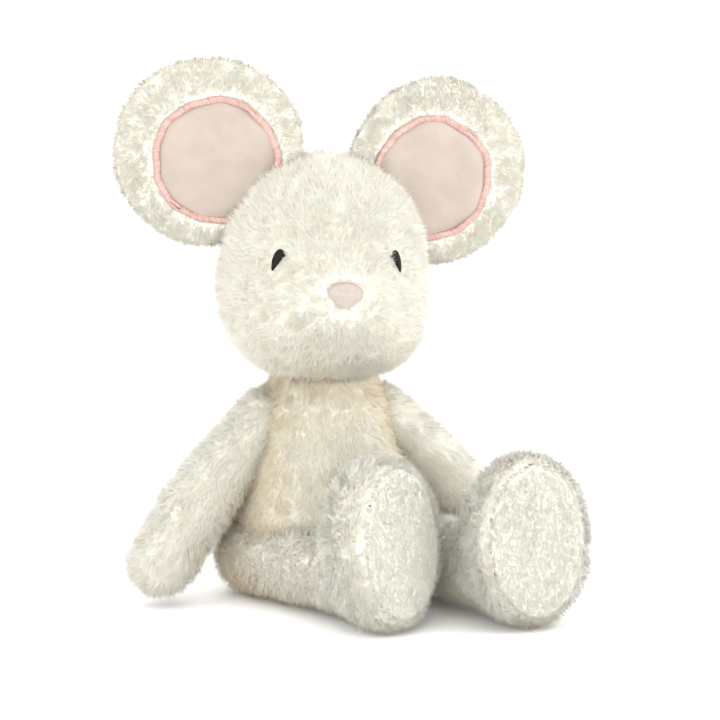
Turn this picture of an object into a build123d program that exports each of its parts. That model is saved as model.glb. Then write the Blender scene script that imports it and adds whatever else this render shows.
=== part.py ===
"""A seated plush mouse: sewn fur-fabric panels over stuffing, with soft joints at the neck, ears, shoulders,
hips and tail. Millimetres, +Z up, the mouse faces -Y and its left side is +X. The origin is the centre of the
round seat panel that it sits on."""

from build123d import *

import os
from math import atan2, cos, radians, sin, sqrt, tan

# ---- driving dimensions -------------------------------------------------------------------------------------
CLOTH = 4.5  # fur fabric with its pile pressed down
SHORT_CLOTH = 3.0  # velboa, on the ear linings and soles
SEAM_OFFSET = 0.6  # the limbs' seams run just outside their middle
GAP = 0.4  # running clearance between parts that turn on each other

TORSO_Y = -14.0  # the torso's axis stands in front of the seat panel's centre
TORSO_PROFILE = [(31, 0), (41, 9), (44, 24), (41, 47), (35.5, 70), (30, 88), (21, 99), (0, 104)]
SEAT_RADIUS = 16.0
SIDE_SEAM_BACK = 3.0  # the torso's side seams run just behind its axis

NECK = Vector(0, TORSO_Y, 103)
NECK_RADIUS = 14.0
NECK_CREASE = 10.0  # degrees that the head's underside and the torso's top each fall away
HEAD_CENTRE = Vector(0, TORSO_Y, 153)
HEAD_RADIUS, HEAD_HALF_HEIGHT = 48.5, 55.5
HEAD_TURN, HEAD_ROLL = -2.5, 3.0  # degrees, as it is set on the neck
SNOUT_RADIUS, SNOUT_AT = 24.0, (0, -27.5, -13)
GUSSET_HALF_WIDTH = 17.0

EYE_AZIMUTH, EYE_HEIGHT, EYE_LEAN = 36.0, 0.5, 17.0
EYE_WIDTH, EYE_LENGTH, THREAD_HEIGHT = 6.4, 11.5, 1.0
NOSE_WIDTH, NOSE_HEIGHT, NOSE_Z = 16.0, 11.5, -12.5

EAR_RADIUS, EAR_THICKNESS, EAR_ROUNDING = 43.5, 12.0, 5.2
WADDING_RADIUS, WADDING_THICKNESS = 37.0, 2.4
LINING_RADIUS, RING_WIDTH, RING_HEIGHT, LINING_SHIFT = 28.3, 3.0, 0.8, 5.0
EAR_OUTWARD = 10.0  # degrees that each ear faces away from the middle
EAR_CLEAR = 3.2  # between the ear's edge and the head
EAR_TAB_HALF_LENGTH, EAR_TAB_WIDTH, EAR_TAB_THICKNESS, EAR_BEAD_RADIUS = 13.0, 10.0, 4.4, 2.6
EAR_CENTRES = {"right": (-55.0, 6.0, 52.0), "left": (53.0, 6.0, 46.6)}

SHOULDER = Vector(29, TORSO_Y, 84)  # the left one; the right one is its mirror image
SHOULDER_RADIUS, SHOULDER_WAD_RADIUS = 15.0, 8.0
ARM_DIRECTION = Vector(0.60, -0.19, -0.745).normalized()
ARM_LENGTH = 83.0  # from the shoulder's centre to the paw's
ARM_RADII = [14.2, 15.2, 16.0, 16.6, 16.8, 16.2]
ARM_BEND = 9.0  # how far the middle of the arm bows outwards, across its width
ARM_START = 4.0  # the arm's first section, from the shoulder's centre

HIP = Vector(33, TORSO_Y - 2, 19)  # the left one
HIP_RADIUS, HIP_WAD_RADIUS = 17.0, 9.0
THIGH_RADIUS, ANKLE_RADIUS = 16.6, 19.0
LEG_YAW = {"right": 28.5, "left": 23.0}  # degrees from straight ahead, towards the mouse's left
FOOT_YAW = {"right": 33.0, "left": 8.0}
LEG_REACH = {"right": 106.0, "left": 111.0}  # from the hip's centre to the sole
FOOT_HALF_WIDTH, FOOT_HALF_HEIGHT, FOOT_DEPTH = 28.5, 38.8, 34.0
FOOT_BACK_ROUNDING, FOOT_FRONT_ROUNDING = 12.0, 6.0
FOOT_LEAN = 6.0
FOOT_CLEAR = 3.0  # lifts the sole's centre so that the leaning heel just clears the ground
SOLE_HALF_WIDTH, SOLE_HALF_HEIGHT, SOLE_PROUD = 24.0, 35.0, 0.4
HIP_LIFT = (-60.0, 14.0)  # degrees the torso is hollowed for
HIP_SPLAY = {"right": (-45.0, 0.0), "left": (-5.0, 5.0)}
HIP_WELL = (-9.0, 75.0)  # where the well for the leg begins and ends, from the hip's centre along the leg
ARM_WELL_DEPTH = 110.0

TAIL_ROOT = Vector(0, TORSO_Y + 42.5, 13)
TAIL_POINTS = [(0, 0), (1, 17), (-4, 34), (-20, 45), (-38, 40)]  # X and Y from its root, along the floor
TAIL_RADII = [5.2, 5.0, 4.6, 4.0, 3.0]
TAIL_CLOTH = 1.4
TAIL_ABOVE_GROUND = 0.3

BAG_AT, BAG_RADII, BAG_CLOTH = (0, 4, 20), (16.0, 14.0, 12.0), 0.8
STUFFING_CLEAR = 2.5  # between the stuffing and the wells for the limbs

LABEL_WIDTH, LABEL_LENGTH, LABEL_THICKNESS = 12.0, 22.0, 0.8
LABEL_AT, LABEL_TURN = Vector(21, TORSO_Y + 37.5, 30), 60.0

FRONT = Vector(0, -1, 0)
UP = Vector(0, 0, 1)
SIDES = {"right": -1, "left": 1}
FAR = 400.0
SEAM_AWAY = Rot(0, 0, 27)  # turns a round body's own seam line away from where it is cut


# ---- helpers --------------------------------------------------------------------------------------------------
def mirrored(vector, side):
    """The same place on the other side, for the right limb."""
    return Vector(vector.X * side, vector.Y, vector.Z)


def ball(centre, radius):
    """A ball whose poles lie away from every seam."""
    return Pos(*centre) * Rot(25, 35, 0) * Sphere(radius)


def turned_about(vector, axis, angle):
    return Vector(vector).rotate(Axis((0, 0, 0), tuple(axis)), angle)


def along(origin, direction, x_dir=None):
    """The placement at origin whose Z runs along direction."""
    return Plane(tuple(origin), x_dir=None if x_dir is None else tuple(x_dir), z_dir=tuple(direction)).location


def tapered(start, direction, first, last, length):
    """A round, tapering tube from start along direction."""
    return along(start, direction) * Cone(first, last, length, align=(Align.CENTER, Align.CENTER, Align.MIN))


def spheroid(radius, half_height):
    """An ellipsoid that is round about Z."""
    angles = [radians(15 * step) for step in range(-6, 7)]
    side = Spline(*[(radius * cos(a), half_height * sin(a)) for a in angles], tangents=[(1, 0), (-1, 0)])
    outline = Curve() + [side, Line((0, half_height), (0, -half_height))]
    return SEAM_AWAY * revolve(Plane.XZ * make_face(outline), Axis.Z)


def pear(shrink=0.0):
    """The torso's outer shape, or the stuffing's when it is shrunk by the cloth."""
    points = [(max(r - shrink, 0), min(max(z, shrink), TORSO_PROFILE[-1][1] - shrink)) for r, z in TORSO_PROFILE]
    side = Spline(*points, tangents=[(1, 0.6), (-1, 0)])
    low, high = (0, points[0][1]), points[-1]
    outline = Curve() + [side, Line(high, low), Line(low, points[0])]
    return Pos(0, TORSO_Y, 0) * SEAM_AWAY * revolve(Plane.XZ * make_face(outline), Axis.Z)


def slab(x0, x1, y0, y1, z0, z1):
    return Pos((x0 + x1) / 2, (y0 + y1) / 2, (z0 + z1) / 2) * Box(x1 - x0, y1 - y0, z1 - z0)


def either_side(plane):
    """The two half spaces in front of and behind a plane."""
    return plane * slab(-FAR, FAR, -FAR, FAR, 0, FAR), plane * slab(-FAR, FAR, -FAR, FAR, -FAR, 0)


def crease(above):
    """The shallow cone round the neck that keeps the head's underside, or the torso's top, clear of a nod."""
    rise = FAR * tan(radians(NECK_CREASE)) * (1 if above else -1)
    height = FAR if not above else -FAR
    corners = [(0, 0), (FAR, rise), (FAR, height), (0, height)]
    return Pos(*NECK) * revolve(Plane.XZ * make_face(Polyline(*corners, close=True)), Axis.Z)


def one(shape):
    """The largest solid of a shape, without slivers that a cut has left."""
    return max(shape.solids(), key=lambda s: s.volume)


def cut_away(shape, hollows):
    """The largest solid that is left when each hollow in turn is cut from the shape."""
    for hollow in hollows:
        shape = one(shape - hollow)
    return shape


# ---- limbs ----------------------------------------------------------------------------------------------------
def shoulder(side):
    return mirrored(SHOULDER, side)


def arm_body(side, shrink=0.0):
    """The arm's outer shape: a ball at the shoulder and a tube that bows outwards to a rounded paw."""
    root, direction = shoulder(side), mirrored(ARM_DIRECTION, side)
    outward = Vector(side * cos(radians(39)), 0, sin(radians(39)))
    sections = []
    steps = len(ARM_RADII) - 1
    for i, radius in enumerate(ARM_RADII):
        t = i / steps
        bow = outward * (ARM_BEND / 2 * sin(radians(180 * t)))
        centre = root + direction * (ARM_START + (ARM_LENGTH - ARM_START) * t) + bow
        sections.append(along(centre, direction) * Circle(radius - shrink))
    paw = root + direction * ARM_LENGTH
    return loft(sections) + ball(root, SHOULDER_RADIUS - shrink) + ball(paw, ARM_RADII[-1] - shrink - 0.02)


def heading(yaw):
    """The level direction that is yaw degrees from straight ahead, towards the mouse's left."""
    return Vector(sin(radians(yaw)), -cos(radians(yaw)), 0)


def foot_plane(name):
    """The placement of the sole, leaning back a little, with X across the foot."""
    side = SIDES[name]
    hip = mirrored(HIP, side)
    facing = heading(FOOT_YAW[name])
    across = UP.cross(facing) * -1
    normal = (facing * cos(radians(FOOT_LEAN)) + UP * sin(radians(FOOT_LEAN))).normalized()
    centre = hip + heading(LEG_YAW[name]) * LEG_REACH[name]
    centre.Z = FOOT_HALF_HEIGHT * cos(radians(FOOT_LEAN)) + FOOT_CLEAR
    return along(centre, normal, x_dir=across)


def foot_body(name, shrink=0.0):
    """The upright oval foot behind the sole."""
    sole = foot_plane(name)
    oval = extrude(Ellipse(FOOT_HALF_WIDTH - shrink, FOOT_HALF_HEIGHT - shrink), -(FOOT_DEPTH - 2 * shrink))
    back = oval.edges().sort_by(Axis.Z)[0]
    oval = fillet(back, FOOT_BACK_ROUNDING - shrink)
    front = oval.edges().filter_by(GeomType.ELLIPSE).sort_by(Axis.Z)[-1]
    oval = fillet(front, FOOT_FRONT_ROUNDING - shrink)
    return sole * Pos(0, 0, -shrink) * oval


def leg_body(name, shrink=0.0):
    side = SIDES[name]
    hip = mirrored(HIP, side)
    length = LEG_REACH[name] - FOOT_DEPTH * 0.55
    tube = tapered(hip, heading(LEG_YAW[name]), THIGH_RADIUS - shrink, ANKLE_RADIUS - 1 - shrink, length)
    return tube + ball(hip, HIP_RADIUS - shrink) + foot_body(name, shrink)


def leg_hollow(name, extra):
    """The room that a leg needs in the torso as it lifts and splays: the hip's socket and a flaring well."""
    hip = mirrored(HIP, SIDES[name])
    low, high = HIP_LIFT
    least, most = HIP_SPLAY[name]
    middle = turned_about(heading(LEG_YAW[name]), UP, (least + most) / 2)
    middle = turned_about(middle, (1, 0, 0), -(low + high) / 2)
    across = UP.cross(middle)
    half_lift, half_splay = radians(high - low) / 2, radians(most - least) / 2
    ends = []
    for distance in HIP_WELL:
        half_width = distance * tan(half_splay) + (ANKLE_RADIUS + extra) / cos(half_splay)
        half_height = distance * tan(half_lift) + (THIGH_RADIUS + extra) / cos(half_lift)
        opening = Rectangle(2 * half_width, 2 * half_height)
        ends.append(along(hip + middle * distance, middle, x_dir=across) * opening)
    return [ball(hip, HIP_RADIUS + extra), loft(ends)]


def arm_hollow(side, extra):
    """The cone that an arm sweeps as it swings, cut into the torso's flank, with the shoulder's socket."""
    root = shoulder(side)
    lean = atan2(sqrt(1 - ARM_DIRECTION.X**2), ARM_DIRECTION.X)
    start = -(ARM_RADII[3] + extra) / sin(lean)
    mouth = start + ARM_WELL_DEPTH / tan(lean)
    corners = [(start, 0), (mouth, ARM_WELL_DEPTH), (FAR, ARM_WELL_DEPTH), (FAR, 0)]
    cone = revolve(make_face(Polyline(*corners, close=True)), Axis.X)
    if side < 0:
        cone = mirror(cone, Plane.YZ)
    return [Pos(*root) * cone, ball(root, SHOULDER_RADIUS + extra)]


# ---- assemblies -------------------------------------------------------------------------------------------------
def make_torso():
    """The torso's two fur panels, its seat panel, its stuffing with the neck, and the bag of pellets."""
    skin, filling = pear(), pear(CLOTH)
    for extra in (GAP, GAP + STUFFING_CLEAR):
        hollows = [crease(above=False)]
        for name, side in SIDES.items():
            hollows += leg_hollow(name, extra) + arm_hollow(side, extra)
        hollows.append(ball(TAIL_ROOT, TAIL_RADII[0] + extra + 1))
        if extra == GAP:
            skin = cut_away(skin, hollows)
        else:
            filling = cut_away(filling, hollows)
    neck = ball(NECK, NECK_RADIUS)
    skin = one(skin - filling)
    skin = one(skin - neck)
    filling = one(filling + neck)
    filling = one(filling - ball(NECK, SHOULDER_WAD_RADIUS + GAP))
    seat = Cylinder(SEAT_RADIUS, CLOTH, align=(Align.CENTER, Align.CENTER, Align.MIN))
    fore, aft = either_side(along((0, TORSO_Y + SIDE_SEAM_BACK, 0), FRONT, x_dir=(1, 0, 0)))
    bag = Pos(*BAG_AT) * scale(Sphere(1), BAG_RADII)
    pellets = Pos(*BAG_AT) * scale(Sphere(1), tuple(radius - BAG_CLOTH for radius in BAG_RADII))
    return {
        "torso_front_panel": one((skin - seat) & fore),
        "torso_back_panel": one((skin - seat) & aft),
        "seat_panel": seat & skin,
        "torso_stuffing": filling - bag,
        "pellet_bag": bag - pellets,
        "pellets": pellets,
        "neck_wad": ball(NECK, SHOULDER_WAD_RADIUS),
    }


def head_placement():
    return Pos(*HEAD_CENTRE) * Rot(0, 0, HEAD_TURN) * Rot(0, HEAD_ROLL, 0)


def head_form(shrink=0.0):
    """The egg-shaped head with its low snout, about its own centre."""
    egg = spheroid(HEAD_RADIUS - shrink, HEAD_HALF_HEIGHT - shrink)
    return egg + ball(SNOUT_AT, SNOUT_RADIUS - shrink)


def ear_plane(name):
    """The placement of the ear's mid plane at its centre: X runs outwards from the head and Z faces forwards."""
    side = SIDES[name]
    centre = Vector(*EAR_CENTRES[name])
    normal = Vector(side * sin(radians(EAR_OUTWARD)), -cos(radians(EAR_OUTWARD)), 0)
    outward = (centre - normal * centre.dot(normal)).normalized()
    return along(centre, normal, x_dir=outward)


def ear_root_distance(name):
    """How far the ear's hinge, at the head's surface, is from the ear's centre."""
    centre = Vector(*EAR_CENTRES[name])
    level = sqrt(centre.X**2 + centre.Y**2) / centre.length
    upright = centre.Z / centre.length
    return centre.length - 1 / sqrt((level / HEAD_RADIUS) ** 2 + (upright / HEAD_HALF_HEIGHT) ** 2)


def ear_bead(name, radius, half_length):
    """The sewn-in edge at the ear's root, round, along the ear's hinge."""
    at = ear_plane(name) * Pos(-ear_root_distance(name), 0, 0)
    return at * Rot(90, 0, 0) * Cylinder(radius, 2 * half_length)


def surface_patch(outline, at, normal, lean, thickness):
    """A thin patch that lies on the head's surface, cut from a slightly larger head."""
    raised = spheroid(HEAD_RADIUS + thickness, HEAD_HALF_HEIGHT + thickness)
    raised += ball(SNOUT_AT, SNOUT_RADIUS + thickness)
    punch = along(at, normal, x_dir=UP.cross(normal)) * Rot(0, 0, lean) * extrude(outline, 30)
    return one((raised & punch) - head_form())


def make_head():
    """The head's gusset and side panels, its stuffing, the two eyes and the nose."""
    form, filling = head_form(), head_form(CLOTH)
    skin = form - filling
    for name in SIDES:
        skin -= ear_bead(name, EAR_BEAD_RADIUS + GAP, EAR_TAB_HALF_LENGTH + GAP)
    upper = slab(-FAR, FAR, -FAR, 0, NOSE_Z, FAR) + slab(-FAR, FAR, 0, FAR, -FAR, FAR)
    strip = slab(-GUSSET_HALF_WIDTH, GUSSET_HALF_WIDTH, -FAR, FAR, -FAR, FAR) & upper
    eye_outline = Ellipse(EYE_WIDTH / 2, EYE_LENGTH / 2)
    pieces = {
        "head_gusset": skin & strip,
        "head_left_panel": (skin - strip) & slab(0, FAR, -FAR, FAR, -FAR, FAR),
        "head_right_panel": (skin - strip) & slab(-FAR, 0, -FAR, FAR, -FAR, FAR),
        "head_stuffing": filling,
    }
    for name, side in SIDES.items():
        azimuth = radians(side * EYE_AZIMUTH)
        outward = Vector(sin(azimuth), -cos(azimuth), 0.1)
        at = Vector(0, 0, EYE_HEIGHT) + outward * (HEAD_RADIUS * 0.6)
        pieces[f"{name}_eye"] = surface_patch(eye_outline, at, outward, -side * EYE_LEAN, THREAD_HEIGHT)
    nose_outline = Ellipse(NOSE_WIDTH / 2, NOSE_HEIGHT / 2)
    pieces["nose"] = surface_patch(nose_outline, Vector(0, -30, NOSE_Z), FRONT, 0, THREAD_HEIGHT)
    socket = ball(NECK, NECK_RADIUS + GAP) + crease(above=True)
    placed = {}
    for name, piece in pieces.items():
        placed[name] = head_placement() * piece
        if "panel" in name or name in ("head_gusset", "head_stuffing"):
            placed[name] = one(placed[name] - socket)
    return placed


def make_ear(name):
    """The ear's fur back and front, the thin wadding, the pink lining and the satin-stitched ring round it."""
    plane = ear_plane(name)
    disc = Cylinder(EAR_RADIUS, EAR_THICKNESS)
    disc = fillet(disc.edges().filter_by(GeomType.CIRCLE), EAR_ROUNDING)
    wadding = Cylinder(WADDING_RADIUS, WADDING_THICKNESS)
    half, inside = EAR_THICKNESS / 2, WADDING_THICKNESS / 2
    shift = Pos(-LINING_SHIFT, 0, inside)
    base = (Align.CENTER, Align.CENTER, Align.MIN)
    ring_outer = shift * Cylinder(LINING_RADIUS, half, align=base)
    lining = shift * Cylinder(LINING_RADIUS - RING_WIDTH, SHORT_CLOTH, align=base)
    ring = shift * Cylinder(LINING_RADIUS, SHORT_CLOTH + RING_HEIGHT, align=base)
    ring -= shift * Cylinder(LINING_RADIUS - RING_WIDTH, half, align=base)
    head = plane.inverse() * spheroid(HEAD_RADIUS + EAR_CLEAR, HEAD_HALF_HEIGHT + EAR_CLEAR)
    root = Pos(-ear_root_distance(name), 0, 0)
    tab = root * Pos(EAR_TAB_WIDTH / 2, 0, 0) * Box(EAR_TAB_WIDTH, 2 * EAR_TAB_HALF_LENGTH, EAR_TAB_THICKNESS)
    tab = (tab & head) + root * Rot(90, 0, 0) * Cylinder(EAR_BEAD_RADIUS, 2 * EAR_TAB_HALF_LENGTH)
    pieces = {
        "ear_back": (disc & slab(-FAR, FAR, -FAR, FAR, -FAR, 0)) - wadding - head + tab,
        "ear_front": (disc & slab(-FAR, FAR, -FAR, FAR, 0, FAR)) - wadding - head - ring_outer - tab,
        "ear_wadding": wadding - head - tab,
        "ear_lining": lining - head - tab,
        "ear_ring": ring - head - tab,
    }
    return {f"{name}_{key}": head_placement() * plane * one(piece) for key, piece in pieces.items()}


def make_arm(name):
    """The arm's outer and inner fur panels, its stuffing, and the wad in the shoulder that it turns on."""
    side = SIDES[name]
    root, direction = shoulder(side), mirrored(ARM_DIRECTION, side)
    filling = arm_body(side, CLOTH) - ball(root, SHOULDER_WAD_RADIUS + GAP)
    skin = arm_body(side) - arm_body(side, CLOTH)
    outward = (Vector(side, 0, 0) - direction * (direction.X * side)).normalized()
    outer, inner = either_side(along(root + outward * SEAM_OFFSET, outward, x_dir=direction))
    return {
        f"{name}_arm_outer_panel": one(skin & outer),
        f"{name}_arm_inner_panel": one(skin & inner),
        f"{name}_arm_stuffing": one(filling),
        f"{name}_shoulder_wad": ball(root, SHOULDER_WAD_RADIUS),
    }


def make_leg(name):
    """The leg's outer and inner fur panels, the short-pile sole, the stuffing, and the wad in the hip."""
    side = SIDES[name]
    hip = mirrored(HIP, side)
    sole_at = foot_plane(name)
    sole = extrude(Ellipse(SOLE_HALF_WIDTH, SOLE_HALF_HEIGHT), -CLOTH - SOLE_PROUD)
    sole = sole_at * Pos(0, 0, SOLE_PROUD) * sole
    inside = leg_body(name, CLOTH)
    skin = leg_body(name) - inside - sole
    across = heading(LEG_YAW[name] + 90 * side)
    outer, inner = either_side(along(hip + across * SEAM_OFFSET, across, x_dir=UP))
    return {
        f"{name}_leg_outer_panel": one(skin & outer),
        f"{name}_leg_inner_panel": one(skin & inner),
        f"{name}_sole": sole - inside,
        f"{name}_leg_stuffing": one(inside - ball(hip, HIP_WAD_RADIUS + GAP)),
        f"{name}_hip_wad": ball(hip, HIP_WAD_RADIUS),
    }


def tail_tube(shrink):
    """A slim, tapering tube that curls along the ground behind the torso, with a ball at its root and its tip."""
    floor_drop = TAIL_RADII[0] + TAIL_ABOVE_GROUND - TAIL_ROOT.Z
    points = [TAIL_ROOT + Vector(x, y, floor_drop if y else 0) for x, y in TAIL_POINTS]
    sections = []
    for i, (point, radius) in enumerate(zip(points, TAIL_RADII)):
        before, after = points[max(i - 1, 0)], points[min(i + 1, len(points) - 1)]
        sections.append(along(point, (after - before).normalized()) * Circle(radius - shrink))
    root = ball(points[0], TAIL_RADII[0] - shrink + 0.6)
    return loft(sections) + root + ball(points[-1], TAIL_RADII[-1] - shrink - 0.02)


def make_label():
    """A small blank woven label, folded double, sewn into the back seam."""
    return Pos(*LABEL_AT) * Rot(0, 0, LABEL_TURN) * Box(LABEL_LENGTH, LABEL_THICKNESS, LABEL_WIDTH)


def main():
    os.makedirs("parts", exist_ok=True)
    nodes = make_torso() | make_head()
    for name in SIDES:
        nodes |= make_ear(name) | make_arm(name) | make_leg(name)
    nodes["tail_cover"] = tail_tube(0) - tail_tube(TAIL_CLOTH)
    nodes["tail_stuffing"] = tail_tube(TAIL_CLOTH)
    nodes["care_label"] = make_label() - pear()
    for name, shape in nodes.items():
        export_step(shape, f"parts/{name}.step")


main()
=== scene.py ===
"""A seated plush mouse in cream fur fabric, with pink-lined ears.

The mouse faces -Y, its left side is +X and +Z is up, as in the CAD frame. Shapes are worked out in millimetres and
become metres in add_object and fibres. The stage is in metres. Each body gets a soft skin, in the place of its CAD
panels, with a combed pile of fine three-sided fibres standing on it.
"""

import math

import bmesh
import bpy
import numpy as np
from mathutils import Euler, Matrix, Vector
from mathutils.bvhtree import BVHTree


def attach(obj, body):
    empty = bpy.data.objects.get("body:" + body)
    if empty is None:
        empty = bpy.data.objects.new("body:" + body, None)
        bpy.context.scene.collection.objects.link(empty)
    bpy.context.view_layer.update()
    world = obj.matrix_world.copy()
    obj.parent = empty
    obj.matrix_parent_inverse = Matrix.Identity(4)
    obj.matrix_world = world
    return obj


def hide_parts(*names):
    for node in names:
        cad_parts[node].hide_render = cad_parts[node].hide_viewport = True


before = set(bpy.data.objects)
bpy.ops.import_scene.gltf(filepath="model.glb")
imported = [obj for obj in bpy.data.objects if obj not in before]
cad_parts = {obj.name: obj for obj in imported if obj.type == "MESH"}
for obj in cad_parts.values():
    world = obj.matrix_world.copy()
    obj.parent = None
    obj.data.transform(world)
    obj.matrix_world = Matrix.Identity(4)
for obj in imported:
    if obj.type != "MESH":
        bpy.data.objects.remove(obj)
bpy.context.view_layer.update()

MM = 0.001
SIDES = {"right": -1, "left": 1}
DENSITY = 1.0  # share of the fibres while trying things out
rng = np.random.default_rng(11)

# Places and sizes of the soft shapes, which lie over the CAD solids, in millimetres and degrees
HEAD_CENTRE = np.array([0, -14, 153.0])
HEAD_TURN, HEAD_ROLL = -2.5, 3.0
EYE_AZIMUTH, EYE_HEIGHT, EYE_LEAN = 35.8, 3.0, 9
EYE_SHIFT, EYE_STEP = -0.2, 0.5  # both eyes sit a little to the right, and the left one higher
NOSE_AZIMUTH, NOSE_HEIGHT, NOSE_LEAN = 3.2, -11.4, -3
PATCH_OUT, PATCH_TILT = 48, 0.12  # how far out from the head's centre the face lies, and how it tips upwards
EAR_CENTRES = {"right": (-55.0, 6.0, 52.0), "left": (53.0, 6.0, 46.6)}
EAR_OUTWARD = 10.0
EAR_RADIUS, LINING_RADIUS, LINING_SHIFT = 43.2, 28.3, 5.0
EAR_RIPPLE = {"right": 7, "left": 3}
# Radius and half height of the head's egg, inside which an ear's shell, lining and ring are left out
SHELL_EGG, LINING_EGG, RING_EGG = (42, 47), (43, 48), (44, 48)
TORSO_Y = -14.0
TORSO_SLICES = (  # height, radius, half height
    (13, 41.0, 13),
    (20, 41.0, 19),
    (28, 41.8, 24),
    (38, 41.3, 24),
    (50, 39.4, 24),
    (62, 37.4, 24),
    (74, 34.0, 24),
    (84, 30.0, 24),
    (92, 25.0, 24),
)
SEAT_RADIUS = 16.0
ARM_LENGTH = 82.3
ARM_RADII = (13.2, 13.6, 14.1, 14.4, 14.3, 13.7)
LEG_YAW = {"right": 28.5, "left": 23.0}
FOOT_YAW = {"right": 33.0, "left": 8.0}
LEG_REACH = {"right": 106.0, "left": 111.0}
LEG_RADII = (17.0, 16.4, 15.8, 16.2, 17.5)
FOOT_HALF_HEIGHT, FOOT_LEAN, FOOT_CLEAR = 38.8, 6.0, 3.0
FOOT_SLICES = (  # place along the sole's normal, half width, half height, half thickness
    (-6.5, 25.4, 36.2, 5.5),
    (-10, 26.8, 37.2, 7.5),
    (-15, 27.2, 37.4, 9.5),
    (-20, 27.0, 37.0, 10.5),
    (-25, 24.5, 34.0, 10.5),
)
SOLE_HALF_WIDTH, SOLE_HALF_HEIGHT, SOLE_DEPTH = 23.0, 34.5, 9.0
TAIL_ROOT = np.array([0, 28.5, 13.0])
TAIL_OFFSETS = ((0, -3, 0), (0, 0, 0), (1, 17, -7.5), (-4, 34, -7.5), (-20, 45, -7.5), (-38, 40, -7.5))
TAIL_RADII = (4.6, 4.6, 4.5, 4.2, 3.7, 2.7)


# ---- numbers and directions, in millimetres --------------------------------------------------------------------
def unit(v):
    v = np.asarray(v, float)
    return v / np.maximum(np.linalg.norm(v, axis=-1, keepdims=True), 1e-9)


def smooth(edge0, edge1, x):
    t = np.clip((x - edge0) / (edge1 - edge0), 0, 1)
    return t * t * (3 - 2 * t)


def wavy(points, size, seed):
    """Soft noise, mostly between -1 and 1, with features of roughly that size in millimetres."""
    local = np.random.default_rng(seed)
    total = np.zeros(len(points))
    for _ in range(7):
        direction = unit(local.normal(size=3)) / (size * local.uniform(0.7, 1.5))
        total += np.sin(points @ direction * 2 * math.pi + local.uniform(0, 6.28))
    return total / 3.2


def wavy_vector(points, size, seed):
    return np.stack([wavy(points, size, seed + i) for i in range(3)], axis=1)


def everywhere(points):
    return np.ones(len(points), bool)


def inside_head(points, radius, half_height):
    """Which points, in the head's frame, lie in an egg of that size that stands for the head."""
    x, y, z = points[..., 0], points[..., 1], points[..., 2] + 1
    return (x / radius) ** 2 + (y / radius) ** 2 + (z / half_height) ** 2 < 1


def heading(yaw):
    """The level direction at that many degrees from -Y, towards +X."""
    return np.array([math.sin(math.radians(yaw)), -math.cos(math.radians(yaw)), 0])


def head_matrix():
    turn = Euler((0, 0, math.radians(HEAD_TURN))).to_matrix() @ Euler((0, math.radians(HEAD_ROLL), 0)).to_matrix()
    return np.array(turn), HEAD_CENTRE


def ear_axes(name):
    """The ear's centre, and its outward, upright and facing directions, all in the head's frame."""
    side = SIDES[name]
    centre = np.array(EAR_CENTRES[name])
    angle = math.radians(EAR_OUTWARD)
    facing = np.array([side * math.sin(angle), -math.cos(angle), 0])
    outward = unit(centre - facing * (centre @ facing))
    return centre, outward, np.cross(facing, outward), facing


# ---- meshes -----------------------------------------------------------------------------------------------------
def add_object(name, points, faces, materials):
    """A mesh object from points in millimetres."""
    mesh = bpy.data.meshes.new(name)
    mesh.from_pydata((np.asarray(points) * MM).tolist(), [], [tuple(int(i) for i in f) for f in faces])
    mesh.polygons.foreach_set("use_smooth", [True] * len(mesh.polygons))
    for material in materials:
        mesh.materials.append(material)
    mesh.validate()
    mesh.update()
    obj = bpy.data.objects.new(name, mesh)
    bpy.context.scene.collection.objects.link(obj)
    return obj


def blended(balls, voxel, passes):
    """Points and faces of a soft body: overlapping ellipsoids merged and smoothed into one skin. Each is a centre,
    three radii and, if it is turned, its axes."""
    bm = bmesh.new()
    for centre, radii, *axes in balls:
        turn = Matrix([list(row) for row in axes[0]]).transposed().to_4x4() if axes else Matrix()
        shape = Matrix.Translation(Vector(centre)) @ turn @ Matrix.Diagonal((*radii, 1))
        bmesh.ops.create_icosphere(bm, subdivisions=5, radius=1, matrix=shape)
    mesh = bpy.data.meshes.new("blend")
    bm.to_mesh(mesh)
    bm.free()
    obj = bpy.data.objects.new("blend", mesh)
    bpy.context.scene.collection.objects.link(obj)
    remesh = obj.modifiers.new("merge", "REMESH")
    remesh.mode = "VOXEL"
    remesh.voxel_size = voxel
    relax = obj.modifiers.new("relax", "SMOOTH")
    relax.factor = 0.5
    relax.iterations = passes
    done = obj.evaluated_get(bpy.context.evaluated_depsgraph_get()).to_mesh()
    points = np.empty(len(done.vertices) * 3)
    done.vertices.foreach_get("co", points)
    faces = [tuple(f.vertices) for f in done.polygons]
    bpy.data.objects.remove(obj)
    return points.reshape(-1, 3), faces


def triangles_of(faces):
    result = []
    for f in faces:
        for i in range(1, len(f) - 1):
            result.append((f[0], f[i], f[i + 1]))
    return np.array(result)


def normals_of(points, faces):
    tris = triangles_of(faces)
    a, b, c = points[tris[:, 0]], points[tris[:, 1]], points[tris[:, 2]]
    flat = np.cross(b - a, c - a)
    total = np.zeros_like(points)
    for i in range(3):
        np.add.at(total, tris[:, i], flat)
    return unit(total)


def chain(start, end, radii, bow=(0, 0, 0)):
    """Overlapping balls from start to end, bowed sideways in the middle."""
    start, end, bow = (np.array(v, float) for v in (start, end, bow))
    count = 14
    balls = []
    for i in range(count + 1):
        t = i / count
        radius = np.interp(t, np.linspace(0, 1, len(radii)), radii)
        balls.append((start + (end - start) * t + bow * math.sin(math.pi * t), (radius,) * 3))
    return balls


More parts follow.
